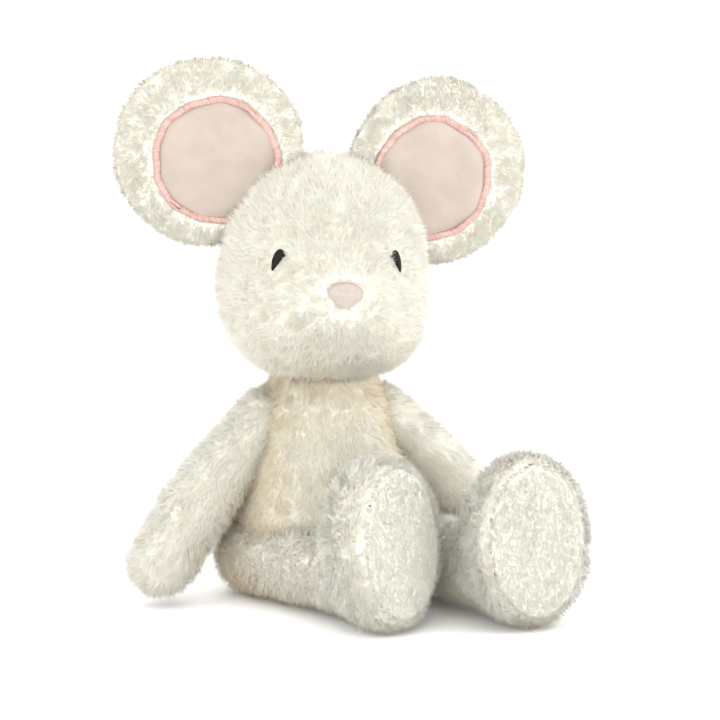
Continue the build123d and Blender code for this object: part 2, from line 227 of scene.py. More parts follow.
# ---- materials --------------------------------------------------------------------------------------------------
def fibre_shade(name, colour):
    """One shade of fibre, with a lustre that comes and goes. A pile's colours come from mixing several of these."""
    material = bpy.data.materials.new(name)
    material.use_nodes = True
    tree = material.node_tree
    shader = tree.nodes["Principled BSDF"]
    place = tree.nodes.new("ShaderNodeTexCoord")
    noise = tree.nodes.new("ShaderNodeTexNoise")
    noise.inputs["Scale"].default_value = 140
    noise.inputs["Detail"].default_value = 2
    lustre = tree.nodes.new("ShaderNodeMapRange")
    lustre.inputs["To Min"].default_value = 0.05
    lustre.inputs["To Max"].default_value = 0.4
    tree.links.new(place.outputs["Object"], noise.inputs["Vector"])
    tree.links.new(noise.outputs["Fac"], lustre.inputs["Value"])
    tree.links.new(lustre.outputs["Result"], shader.inputs["Sheen Weight"])
    shader.inputs["Base Color"].default_value = (*colour, 1)
    shader.inputs["Roughness"].default_value = 0.9
    shader.inputs["Specular IOR Level"].default_value = 0.15
    shader.inputs["Sheen Roughness"].default_value = 0.6
    return material


def cloth(name, low, high, scale, bump, roughness=0.85, sheen=0.3, specular=0.15):
    """A woven or brushed cloth: two shades in soft noise, with a fine raised nap."""
    material = bpy.data.materials.new(name)
    material.use_nodes = True
    tree = material.node_tree
    shader = tree.nodes["Principled BSDF"]
    place = tree.nodes.new("ShaderNodeTexCoord")
    noise = tree.nodes.new("ShaderNodeTexNoise")
    noise.inputs["Scale"].default_value = scale
    noise.inputs["Detail"].default_value = 5
    ramp = tree.nodes.new("ShaderNodeValToRGB")
    ramp.color_ramp.elements[0].position = 0.35
    ramp.color_ramp.elements[0].color = (*low, 1)
    ramp.color_ramp.elements[1].position = 0.65
    ramp.color_ramp.elements[1].color = (*high, 1)
    fine = tree.nodes.new("ShaderNodeTexNoise")
    fine.inputs["Scale"].default_value = scale * 5
    fine.inputs["Detail"].default_value = 3
    raised = tree.nodes.new("ShaderNodeBump")
    raised.inputs["Strength"].default_value = bump
    raised.inputs["Distance"].default_value = 0.0006
    link = tree.links.new
    link(place.outputs["Object"], noise.inputs["Vector"])
    link(place.outputs["Object"], fine.inputs["Vector"])
    link(noise.outputs["Fac"], ramp.inputs["Fac"])
    link(ramp.outputs["Color"], shader.inputs["Base Color"])
    link(fine.outputs["Fac"], raised.inputs["Height"])
    link(raised.outputs["Normal"], shader.inputs["Normal"])
    shader.inputs["Roughness"].default_value = roughness
    shader.inputs["Specular IOR Level"].default_value = specular
    shader.inputs["Sheen Weight"].default_value = sheen
    return material


# White to peach. The warmer shades are also darker, and stand for painted shade in creases and under parts as well as
# for a warmer tone.
FUR_COLOURS = {
    "white": (0.91, 0.888, 0.785),
    "light": (0.905, 0.872, 0.745),
    "cream": (0.89, 0.85, 0.715),
    "warmth_and_crease_shade": (0.885, 0.815, 0.64),
    "peach": (0.88, 0.755, 0.555),
}


def fur_shades(kind, level):
    """The five shades of a fur, white to peach. A level below 1 darkens them all, as painted shade on parts that
    the lamps light more strongly.
    """
    return [
        fibre_shade(f"{kind}_{name}", [channel * level for channel in colour])
        for name, colour in FUR_COLOURS.items()
    ]


# The head's and the ears' fur is the body's fur made darker: painted shade, where the lamps fall on them more strongly
FUR_SHADES = {
    "body": fur_shades("fur", 1.0),
    "head": fur_shades("head_fur_painted_shade", 0.92),
    "ear": fur_shades("ear_fur_painted_shade", 0.80),
}
SOLE_SHADES = [fibre_shade("sole_light", (0.71, 0.70, 0.61)), fibre_shade("sole_warmth_and_crease_shade", (0.69, 0.675, 0.58))]
BACKING = cloth("fur_backing", (0.89, 0.86, 0.75), (0.92, 0.90, 0.81), 260, 0.5, sheen=0.0)
PINK = cloth("velboa_pink", (0.41, 0.345, 0.295), (0.45, 0.38, 0.325), 90, 0.25, sheen=0.2)
# One rose satin thread in three copies, darker and duller to lighter and glossier: painted highlights and shade, mixed
# by chance among the stitches
ROSES_PAINTED_LIGHT_AND_SHADE = [
    cloth(name, low, high, 900, 0.2, roughness=roughness, sheen=0.1, specular=specular)
    for name, low, high, roughness, specular in (
        ("satin_rose", (0.51, 0.30, 0.265), (0.60, 0.38, 0.335), 0.36, 0.4),
        ("satin_rose_mid", (0.56, 0.34, 0.30), (0.66, 0.43, 0.38), 0.34, 0.45),
        ("satin_rose_painted_highlight", (0.60, 0.385, 0.335), (0.71, 0.49, 0.43), 0.3, 0.5),
    )
]
LIP = cloth("satin_lip", (0.62, 0.43, 0.37), (0.68, 0.48, 0.42), 700, 0.2, roughness=0.5, sheen=0.2)
BLACK = cloth("satin_black", (0.006, 0.005, 0.005), (0.014, 0.011, 0.010), 700, 0.2, roughness=0.42, sheen=0.0)
BLUSHES = [
    cloth("satin_blush", (0.41, 0.36, 0.32), (0.45, 0.395, 0.35), 700, 0.2, roughness=0.5, sheen=0.2),
    cloth("satin_blush_light", (0.44, 0.385, 0.34), (0.48, 0.42, 0.37), 700, 0.2, roughness=0.5, sheen=0.2),
]
WADDING = cloth("polyester_wadding", (0.83, 0.83, 0.81), (0.93, 0.93, 0.92), 120, 0.8)
CALICO = cloth("bag_calico", (0.66, 0.64, 0.60), (0.76, 0.75, 0.71), 500, 0.4)
GRANULE = cloth("pellet_plastic", (0.58, 0.58, 0.56), (0.72, 0.72, 0.70), 300, 0.6, roughness=0.5, sheen=0.0)
RIBBON = cloth("label_ribbon", (0.82, 0.82, 0.80), (0.90, 0.90, 0.88), 900, 0.2, roughness=0.5)


# ---- pile -------------------------------------------------------------------------------------------------------
PILE_FLOOR = 0.25  # no fibre goes below this height
LIMB_FUR = {"length": 6.4, "lean": 43, "pull": 0.32}


def scatter(points, faces, normals, per_mm2):
    """Random places on the faces: (places, normals)."""
    tris = triangles_of(faces)
    a, b, c = points[tris[:, 0]], points[tris[:, 1]], points[tris[:, 2]]
    area = np.linalg.norm(np.cross(b - a, c - a), axis=1) / 2
    count = int(area.sum() * per_mm2)
    chosen = rng.choice(len(tris), size=count, p=area / area.sum())
    u, v = rng.random(count), rng.random(count)
    over = u + v > 1
    u[over], v[over] = 1 - u[over], 1 - v[over]
    w = np.stack([1 - u - v, u, v], axis=1)[:, :, None]
    corners = tris[chosen]
    places = (points[corners] * w).sum(axis=1)
    facing = unit((normals[corners] * w).sum(axis=1))
    return places, facing


def gathered(roots, size, seed):
    """The middle of the tuft that each root belongs to."""
    shifted = roots + wavy_vector(roots, size * 3, seed) * size * 0.45
    cells = np.floor(shifted / size).astype(np.int64)
    keys = cells @ np.array([73856093, 19349663, 83492791])
    _, index = np.unique(keys, return_inverse=True)
    counts = np.bincount(index)
    middle = np.stack([np.bincount(index, roots[:, i]) / counts for i in range(3)], axis=1)
    return middle[index]


def fibre_corners(roots, facing, comb, length, lean=50, width=0.36, tuft=3.2, pull=0.5):
    """Each fibre's corners, three round its root and one at its tip, and the direction it points in. It leans by
    about lean degrees from upright towards comb, strays a little and is pulled towards the middle of its tuft."""
    count = len(roots)
    tangent = comb - facing * (comb * facing).sum(axis=1, keepdims=True)
    stray = wavy_vector(roots, 9, 3) * 0.55 + rng.normal(size=(count, 3)) * 0.38
    stray -= facing * (stray * facing).sum(axis=1, keepdims=True)
    tangent = unit(tangent + stray)
    long = (length * rng.uniform(0.65, 1.1, count))[:, None]
    angle = np.radians(lean + rng.normal(size=count) * 13)[:, None]
    way = unit(facing * np.cos(angle) + tangent * np.sin(angle))
    tip = roots + way * long
    across = gathered(roots, tuft, 5) - roots
    across -= facing * (across * facing).sum(axis=1, keepdims=True)
    tip += across * pull
    side = unit(np.cross(way, facing) + facing * rng.normal(size=(count, 1)) * 0.3)
    other = unit(np.cross(side, way))
    half = width / 2
    back = roots - side * half * 0.5
    corners = np.stack([roots + side * half, back + other * half, back - other * half, tip], axis=1)
    corners[:, :, 2] = np.maximum(corners[:, :, 2], PILE_FLOOR)
    return corners, unit(tip - roots)


def shade_choice(roots, shades, warmth_and_shade_level):
    """Which shade each fibre has: by chance, or by a level from 0 to 1 for its tone and painted shade in creases, with
    soft patches and some mixing.
    """
    count = len(roots)
    if warmth_and_shade_level is None:
        return rng.integers(0, len(shades), count)
    patchy = warmth_and_shade_level * 4 + wavy(roots, 14, 21) * 0.5 + rng.normal(size=count) * 0.35
    return np.clip(np.round(patchy), 0, len(shades) - 1).astype(int)


def fibres(name, roots, facing, comb, length, shades, warmth_and_shade_level=None, **style):
    """A pile of fine three-sided fibres, combed along comb and gathered into tufts."""
    count = len(roots)
    corners, pointing = fibre_corners(roots, facing, comb, length, **style)
    mesh = bpy.data.meshes.new(name)
    mesh.vertices.add(count * 4)
    mesh.vertices.foreach_set("co", (corners.reshape(-1) * MM).astype(np.float32))
    base = (np.arange(count) * 4)[:, None]
    loops = np.concatenate([base + [0, 3, 1], base + [1, 3, 2], base + [2, 3, 0]], axis=1).reshape(-1)
    turning = np.cross(corners[:, 3] - corners[:, 0], corners[:, 1] - corners[:, 0])
    middle = corners.mean(axis=1)
    outward = ((turning * (corners[:, 0] + corners[:, 1] - 2 * middle)).sum(axis=1).mean()) > 0
    if not outward:
        loops = loops.reshape(-1, 3)[:, ::-1].reshape(-1)
    mesh.loops.add(len(loops))
    mesh.loops.foreach_set("vertex_index", loops.astype(np.int32))
    mesh.polygons.add(count * 3)
    mesh.polygons.foreach_set("loop_start", (np.arange(count * 3) * 3).astype(np.int32))
    shade = shade_choice(roots, shades, warmth_and_shade_level)
    mesh.polygons.foreach_set("material_index", np.repeat(shade, 3).astype(np.int32))
    for material in shades:
        mesh.materials.append(material)
    mesh.update(calc_edges=True)
    mesh.polygons.foreach_set("use_smooth", np.ones(count * 3, bool))
    soft = unit(facing + pointing * 0.35)  # the light falls on the pile as on one soft surface
    mesh.normals_split_custom_set_from_vertices(np.repeat(soft, 4, axis=0).astype(np.float32))
    obj = bpy.data.objects.new(name, mesh)
    bpy.context.scene.collection.objects.link(obj)
    return obj


def part_of(faces, chosen):
    """The points that the chosen faces use, and those faces renumbered to them."""
    own = [f for f, c in zip(faces, chosen) if c]
    used = np.unique([v for f in own for v in f])
    renumber = {v: k for k, v in enumerate(used)}
    return used, [[renumber[v] for v in f] for f in own]


def skin_piece(name, body, points, faces):
    """The soft cloth under a panel's pile, in the place of that panel's CAD node."""
    skin = add_object(f"{name}_skin", points, faces, [BACKING])
    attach(skin, body)
    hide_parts(name)


def furred(
    body, points, faces, panels, comb, warmth_and_crease_shade, length=6.0, per_mm2=2.2, keep=None, fill=0.6, shades="body", **style
):
    """Skin panels with pile on them. panels maps each panel's CAD node to a test of points, and a face goes to the
    first panel whose test it passes. comb, warm and keep take points and give the pile's direction, its tone of
    colour with painted shade in creases and under parts, and the share of its length that it keeps there."""
    points = points + normals_of(points, faces) * (wavy(points, 22, 8) * 0.5)[:, None]
    normals = normals_of(points, faces)
    middles = np.array([points[list(f)].mean(axis=0) for f in faces])
    free = np.ones(len(faces), bool)
    for name, test in panels.items():
        chosen = free & test(middles)
        free &= ~chosen
        used, local = part_of(faces, chosen)
        skin_piece(name, body, points[used], local)
        roots, facing = scatter(points[used], local, normals[used], per_mm2 * DENSITY)
        long = np.full(len(roots), float(length))
        if keep is not None:
            factor = keep(roots)
            stays = factor > 0.05
            roots, facing, long = roots[stays], facing[stays], (long * factor)[stays]
        pile = fibres(f"{name}_pile", roots, facing, comb(roots), long, FUR_SHADES[shades], warmth_and_crease_shade(roots), **style)
        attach(pile, body)


# ---- stitching --------------------------------------------------------------------------------------------------
THREAD_RADIUS, RING_THREAD_RADIUS = 0.34, 0.27
PROBE = 60  # how far outside the skin a line towards it starts


def threads(name, lines, radius, materials, sides=6):
    """Laid satin threads: each line is a list of points, drawn as a round thread with sunken ends. The threads take
    the materials by chance."""
    points, faces = [], []
    for line in lines:
        line = np.asarray(line, float)
        along = unit(np.gradient(line, axis=0))
        helper = np.array([0.3, 0.2, 0.93])
        across = unit(np.cross(along, helper))
        over = np.cross(across, along)
        first = len(points)
        steps = len(line)
        for i in range(steps):
            fat = radius * (0.45 + 0.55 * math.sin(math.pi * (i + 0.5) / steps) ** 0.5)
            for k in range(sides):
                angle = 2 * math.pi * k / sides
                points.append(line[i] + (across[i] * math.cos(angle) + over[i] * math.sin(angle)) * fat)
        for i in range(steps - 1):
            for k in range(sides):
                j = (k + 1) % sides
                row, next_row = first + i * sides, first + (i + 1) * sides
                faces.append((row + k, row + j, next_row + j, next_row + k))
        faces.append(tuple(first + k for k in reversed(range(sides))))
        faces.append(tuple(first + (steps - 1) * sides + k for k in range(sides)))
    obj = add_object(name, points, faces, materials)
    per_line = [(len(line) - 1) * sides + 2 for line in lines]
    chosen = np.repeat(rng.integers(0, len(materials), len(lines)), per_line)
    obj.data.polygons.foreach_set("material_index", chosen.astype(np.int32))
    return obj


def onto(tree, place, direction, lift):
    """Where a line along direction through place meets the skin from outside, lifted off it."""
    start = Vector(place) - Vector(direction) * PROBE
    hit, normal, _, _ = tree.ray_cast(start, Vector(direction))
    if hit is None:
        return np.array(place)
    return np.array(hit) + np.array(normal) * lift


def patch_frame(azimuth, height, lean, matrix, origin):
    """The origin, across, up and inward directions of a patch on the face, in the part's frame."""
    azimuth, lean = math.radians(azimuth), math.radians(lean)
    outward = unit([math.sin(azimuth), -math.cos(azimuth), PATCH_TILT])
    across = -unit(np.cross(outward, (0, 0, 1)))
    up = -np.cross(across, outward)
    up = up if up[2] > 0 else -up
    across, up = across * math.cos(lean) + up * math.sin(lean), up * math.cos(lean) - across * math.sin(lean)
    place = np.array([0, 0, height]) + outward * PATCH_OUT
    return matrix @ place + origin, matrix @ across, matrix @ up, matrix @ -outward


def stitched_patch(name, tree, where, outline, count, radius, lift, dome, materials, upright):
    """Satin stitches that fill an outline: for s from -1 to 1, outline(s) gives a stitch's offset and its two ends."""
    origin, across, up, inward = where
    lines = []
    for i in range(count):
        s = -1 + 2 * (i + 0.5) / count
        offset, low, high = outline(s)
        line = []
        for t in np.linspace(0, 1, 9):
            value = low + (high - low) * t
            x, y = (offset, value) if upright else (value, offset)
            edge = math.sin(math.pi * min(max(t, 0.02), 0.98)) ** 0.4
            line.append(onto(tree, origin + across * x + up * y, inward, lift + dome * edge * (1 - 0.6 * s * s)))
        lines.append(line)
    return threads(name, lines, radius, materials)


# ---- head -------------------------------------------------------------------------------------------------------
HEAD_BALLS = (  # centre, radii: the skull, its wider lower half, both cheeks and the muzzle
    ((0, 0, 3), (45.5, 44.5, 49)),
    ((0, -2, -10), (47.5, 46, 41)),
    ((-17, -19, -22), (26, 25, 22)),
    ((17, -19, -22), (26, 25, 22)),
    ((1, -29, -15), (20, 20.5, 16)),
)


def eye_outline(side):
    """Round at the top and on its outer side, with a straight inner side that runs down to a point."""

    def outline(s):
        inner = -side * s
        reach = math.sqrt(max(1 - s * s, 0.02))
        if inner > -0.3:
            low = -5.7 + 9.4 * (inner + 0.3) / 1.3
        else:
            low = -5.7 * math.sqrt(max(1 - ((inner + 0.3) / 0.72) ** 2, 0.02))
        return 2.55 * s, low, 5.1 * reach**0.8

    return outline


def nose_outline(s):
    """A soft triangle: widest above its middle, with a blunt point below."""
    lower = s < 0.25
    half = 8.0 * max(1 - ((s - 0.25) / (1.27 if lower else 0.78)) ** 2, 0.02) ** (0.9 if lower else 0.55)
    return 5.6 * s, -half - 0.4, half - 0.4


def stitch_face(tree, eyes, nose):
    """The two eyes, the nose and the single thread along the nose's upper edge."""
    for name, side in SIDES.items():
        where, outline = eyes[name], eye_outline(side)
        eye = stitched_patch(
            f"{name}_eye_stitches", tree, where, outline, 17, THREAD_RADIUS, 2.0, 0.9, [BLACK], upright=True
        )
        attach(eye, "head")
        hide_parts(f"{name}_eye")
    patch = stitched_patch(
        "nose_stitches", tree, nose, nose_outline, 34, THREAD_RADIUS, 1.5, 0.8, BLUSHES, upright=False
    )
    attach(patch, "head")
    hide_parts("nose")
    middle, across, up, inward = nose
    edge_line = [
        onto(tree, middle + across * x + up * (5.9 - 0.03 * x * x), inward, 2.6) for x in np.linspace(-8.8, 8.8, 24)
    ]
    edge = threads("nose_edge_stitch", [edge_line], THREAD_RADIUS, [LIP])
    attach(edge, "head")


def build_head():
    matrix, origin = head_matrix()
    points, faces = blended(HEAD_BALLS, 1.7, 14)
    points = points @ matrix.T + origin
    tree = BVHTree.FromPolygons([Vector(p) for p in points], faces)
    eyes = {}
    for name, side in SIDES.items():
        azimuth, height = side * EYE_AZIMUTH + EYE_SHIFT, EYE_HEIGHT + EYE_STEP * side
        eyes[name] = patch_frame(azimuth, height, side * EYE_LEAN, matrix, origin)
    nose = patch_frame(NOSE_AZIMUTH, NOSE_HEIGHT, NOSE_LEAN, matrix, origin)
    stitch_face(tree, eyes, nose)

    def to_head(p):
        return (p - origin) @ matrix

    def on_gusset(p):
        local = to_head(p)
        return (np.abs(local[:, 0]) < 17) & ((local[:, 2] > -5) | (local[:, 1] > 0))

    def keep(p):
        """No pile under the eyes and nose, short pile round them and on the muzzle."""
        factor = np.ones(len(p))
        bare = ((eyes["left"], 2.7, 5.8, 0.86), (eyes["right"], 2.7, 5.8, 0.86), (nose, 8.6, 6.2, 0.66))
        for (middle, across, up, inward), half_w, half_h, edge in bare:
            d = p - middle
            near = np.abs(d @ inward) < 22
            r = np.sqrt(((d @ across) / half_w) ** 2 + ((d @ up) / half_h) ** 2)
            short = np.where(r > edge, 0.4 + 0.6 * smooth(0.9, 2.0, r), 0)
            factor = np.where(near, np.minimum(factor, short), factor)
        local = to_head(p)
        muzzle = np.exp(-((local[:, 0] / 26) ** 2 + ((local[:, 2] + 8) / 20) ** 2)) * (local[:, 1] < -25)
        return factor * (1 - 0.35 * muzzle)

    def comb(p):
        """Away from the nose, and backwards and down over the forehead."""
        local = to_head(p)
        high = smooth(-10, 25, local[:, 1:2])
        away = unit(local - np.array([0, -58, -4.0]))
        return (away * (1 - 0.4 * high) + np.array([0, 0.25, -0.75]) * high) @ matrix.T

    # Painted shade: warmer, darker fur towards the chin and under the head
    def warmth_and_crease_shade(p):
        height = to_head(p)[:, 2]
        return 0.18 + 0.5 * smooth(-30, -52, height) + 0.12 * smooth(-8, -30, height)

    panels = {
        "head_gusset": on_gusset,
        "head_left_panel": lambda p: to_head(p)[:, 0] > 0,
        "head_right_panel": lambda p: to_head(p)[:, 0] <= 0,
    }
    # The head fur's darker shades are painted shade, against the lamps' stronger light on the head
    furred("head", points, faces, panels, comb, warmth_and_crease_shade, length=6.4, keep=keep, shades="head", lean=45, pull=0.4)


# ---- ears -------------------------------------------------------------------------------------------------------
class EarForm:
    """The form of one ear: a shallow disc on the head, pillowed in front, domed behind and waving at its rim. x runs
    outwards and y up along the ear, and z is how far forward."""

    def __init__(self, name):
        self.matrix, self.origin = head_matrix()
        self.centre, outward, upright, facing = ear_axes(name)
        self.axes = np.stack([outward, upright, facing])
        self.ripple = EAR_RIPPLE[name]

    def place(self, x, y, z):
        local = np.stack([x, y, z], axis=-1) @ self.axes + self.centre
        return local @ self.matrix.T + self.origin

    def to_head(self, points):
        return (points - self.origin) @ self.matrix

    def to_ear(self, points):
        return (self.to_head(points) - self.centre) @ self.axes.T

    def curl(self, x, y):
        """How far the disc's rim leans and waves forwards."""
        rho = np.sqrt(x * x + y * y) / EAR_RADIUS
        angle = np.arctan2(y, x)
        return 1.6 * rho**2 * np.sin(2 * angle + self.ripple) + 1.1 * rho**3 * np.sin(3 * angle + 1.3 * self.ripple)

    def ahead(self, points):
        """How far forward of the curled disc the points are."""
        local = self.to_ear(points)
        return local[:, 2] - self.curl(local[:, 0], local[:, 1])

    def front_height(self, x, y):
        """How far the front stands ahead of the disc: a pillow, pulled in at the ring and dished within it."""
        rho = np.sqrt(x * x + y * y)
        pillow = 5.4 * np.sqrt(np.clip(1 - (rho / EAR_RADIUS) ** 3.2, 0, 1))
        ring = np.sqrt((x + LINING_SHIFT) ** 2 + y * y)
        groove = 1.7 * np.exp(-(((ring - LINING_RADIUS + 1) / 3.0) ** 2))
        return pillow - groove - 1.0 * np.clip(1 - (ring / 26) ** 2, 0, 1)

    def back_height(self, x, y):
        rho = np.sqrt(x * x + y * y)
        return -5.0 * np.sqrt(np.clip(1 - (rho / EAR_RADIUS) ** 3, 0, 1))

    def front(self, x, y, lift):
        return self.place(x, y, self.front_height(x, y) + self.curl(x, y) + lift)


def disc_faces(rings, spokes, hidden, first=0, backwards=False):
    """Quads between the rings of points of a disc, apart from those with every corner hidden."""
    faces = []
    for i in range(rings):
        for k in range(spokes):
            j = (k + 1) % spokes
            a, b = first + i * spokes, first + (i + 1) * spokes
            quad = (a + j, b + j, b + k, a + k) if backwards else (a + k, b + k, b + j, a + j)
            if not all(hidden[list(quad)]):
                faces.append(quad)
    return faces


def build_ear_shell(name, ear):
    """The fur front and back of an ear."""
    rings, spokes = 34, 128
    angle = 2 * math.pi * np.arange(spokes) / spokes
    points = []
    for height in (ear.front_height, ear.back_height):
        for i in range(rings + 1):
            rho = EAR_RADIUS * math.sin(math.pi / 2 * i / rings)
            x, y = rho * np.cos(angle), rho * np.sin(angle)
            points.append(ear.place(x, y, height(x, y) + ear.curl(x, y)))
    points = np.concatenate(points)
    hidden = inside_head(ear.to_head(points), *SHELL_EGG)
    faces = disc_faces(rings, spokes, hidden)
    faces += disc_faces(rings, spokes, hidden, (rings + 1) * spokes, backwards=True)

    def keep(p):
        """No pile in front within the ring."""
        local = ear.to_ear(p)
        ring = np.sqrt((local[:, 0] + LINING_SHIFT) ** 2 + local[:, 1] ** 2)
        return np.where(ear.ahead(p) > 0.3, smooth(LINING_RADIUS - 0.2, LINING_RADIUS + 5.0, ring) * 0.98, 1.0)

    def comb(p):
        local = ear.to_ear(p)
        radial = np.stack([local[:, 0] * 0.55, local[:, 1], np.zeros(len(local))], axis=1)
        return unit(radial) @ ear.axes @ ear.matrix.T

    def warmth_and_crease_shade(p):
        return np.full(len(p), 0.42)

    panels = {
        f"{name}_ear_front": lambda p: ear.ahead(p) > 0,
        f"{name}_ear_back": everywhere,
    }
    # The ear fur's darker shades are painted shade, against the lamps' stronger light on the ears
    style = {"shades": "ear", "lean": 58, "width": 0.32, "pull": 0.3}
    furred(f"{name}_ear", points, faces, panels, comb, warmth_and_crease_shade, length=4.4, per_mm2=2.5, keep=keep, fill=0.35, **style)


def build_ear_lining(name, ear):
    """The smooth pink cloth within the ring, with a few soft creases."""
    rings, spokes = 30, 200
    angle = 2 * math.pi * np.arange(spokes) / spokes
    points = []
    for i in range(rings + 1):
        rho = (LINING_RADIUS - 1.2) * i / rings
        x, y = rho * np.cos(angle) - LINING_SHIFT, rho * np.sin(angle)
        at_ring = 0.35 * np.sin(6 * angle + ear.ripple) * (i / rings) ** 3
        crease = at_ring + 0.25 * np.sin(x / 6 + ear.ripple) * np.cos(y / 8)
        points.append(ear.front(x, y, 0.9 + crease))
    points = np.concatenate(points)
    faces = disc_faces(rings, spokes, inside_head(ear.to_head(points), *LINING_EGG))
    lining = add_object(f"{name}_ear_lining_cloth", points, faces, [PINK])
    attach(lining, f"{name}_ear")
    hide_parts(f"{name}_ear_lining")


def build_ear_ring(name, ear):
    """Satin stitches across the lining's edge, each arched over it and slanting a little."""
    lines = []
    stitches = 430
    for i in range(stitches):
        angle = 2 * math.pi * i / stitches
        wobble = 0.35 * math.sin(5 * angle + ear.ripple) + 0.2 * math.sin(13 * angle) + rng.normal() * 0.08
        line = []
        for t in np.linspace(0, 1, 6):
            rho = LINING_RADIUS - 1.9 + wobble + 3.1 * t
            slant = angle + 0.045 * t
            x, y = rho * math.cos(slant) - LINING_SHIFT, rho * math.sin(slant)
            line.append(ear.front(np.array(x), np.array(y), 1.0 + 1.0 * math.sin(math.pi * t)))
        if not inside_head(ear.to_head(line[2]), *RING_EGG):
            lines.append(line)
    # The stitches take the lighter and darker rose copies by chance: painted highlights and shade
    ring = threads(f"{name}_ear_ring_stitches", lines, RING_THREAD_RADIUS, ROSES_PAINTED_LIGHT_AND_SHADE, sides=5)
    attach(ring, f"{name}_ear")
    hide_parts(f"{name}_ear_ring")


def build_ear(name):
    ear = EarForm(name)
    build_ear_shell(name, ear)
    build_ear_lining(name, ear)
    build_ear_ring(name, ear)


# ---- torso ------------------------------------------------------------------------------------------------------
def build_torso():
    balls = [((0, TORSO_Y, z), (radius, radius, half_height)) for z, radius, half_height in TORSO_SLICES]
    points, faces = blended(balls, 1.8, 14)
    points[:, 2] = np.maximum(points[:, 2], 1.0 + 0.02 * np.abs(points[:, 0]))  # nearly flat where it sits
    panels = {
        "seat_panel": lambda p: (np.hypot(p[:, 0], p[:, 1]) < SEAT_RADIUS) & (p[:, 2] < 6),
        "torso_front_panel": lambda p: p[:, 1] < TORSO_Y + 3,
        "torso_back_panel": everywhere,
    }

    def comb(p):
        return np.tile([0.0, 0.0, -1.0], (len(p), 1)) + (p - [0, TORSO_Y, 40]) * [0.012, 0.012, 0]

    def keep(p):
        return 1 - 0.55 * smooth(5, 1, p[:, 2])

    # A warmer tone all over, with painted shade: warmer, darker fur on the flanks beside the arms and at the top under
    # the head
    def warmth_and_crease_shade(p):
        flank = smooth(14, 32, np.abs(p[:, 0]))
        return 0.5 + 0.5 * flank + 0.35 * smooth(78, 96, p[:, 2])

    furred("torso", points, faces, panels, comb, warmth_and_crease_shade, per_mm2=2.0, keep=keep, pull=0.38)


# ---- arms -------------------------------------------------------------------------------------------------------
def build_arm(name):
    side = SIDES[name]
    root = np.array([side * 26.5, -15, 83.0])
    direction = unit([side * 0.60, -0.19, -0.745])
    shoulder = np.array([side * 29, -14, 84.0])
    paw = shoulder + direction * ARM_LENGTH
    outward = np.array([side * 0.78, 0, 0.63])
    balls = chain(root, paw, ARM_RADII, outward * 3.2)
    balls.append((paw + np.array([side * 1.0, 0, -0.6]), (13.6, 13.4, 13.2)))
    points, faces = blended(balls, 1.5, 10)
    points[:, 2] = np.maximum(points[:, 2], 3.2)  # the paw's pile has room below it
    split = unit(np.array([side, 0, 0]) - direction * direction[0] * side)
    panels = {
        f"{name}_arm_outer_panel": lambda p: (p - shoulder) @ split > 0.6,
        f"{name}_arm_inner_panel": everywhere,
    }

    def comb(p):
        return np.tile(direction, (len(p), 1))

    # Painted shade: warmer, darker fur on the inner side next to the torso, most near the shoulder, and where the arm
    # meets the torso
    def warmth_and_crease_shade(p):
        inner = smooth(0, -12, (p - root) @ split)
        near = smooth(80, 20, (p - root) @ direction)
        return 0.14 + 1.05 * inner * (0.3 + 0.7 * near) + 0.3 * smooth(10, -8, (p - root) @ direction)

    furred(f"{name}_arm", points, faces, panels, comb, warmth_and_crease_shade, **LIMB_FUR)


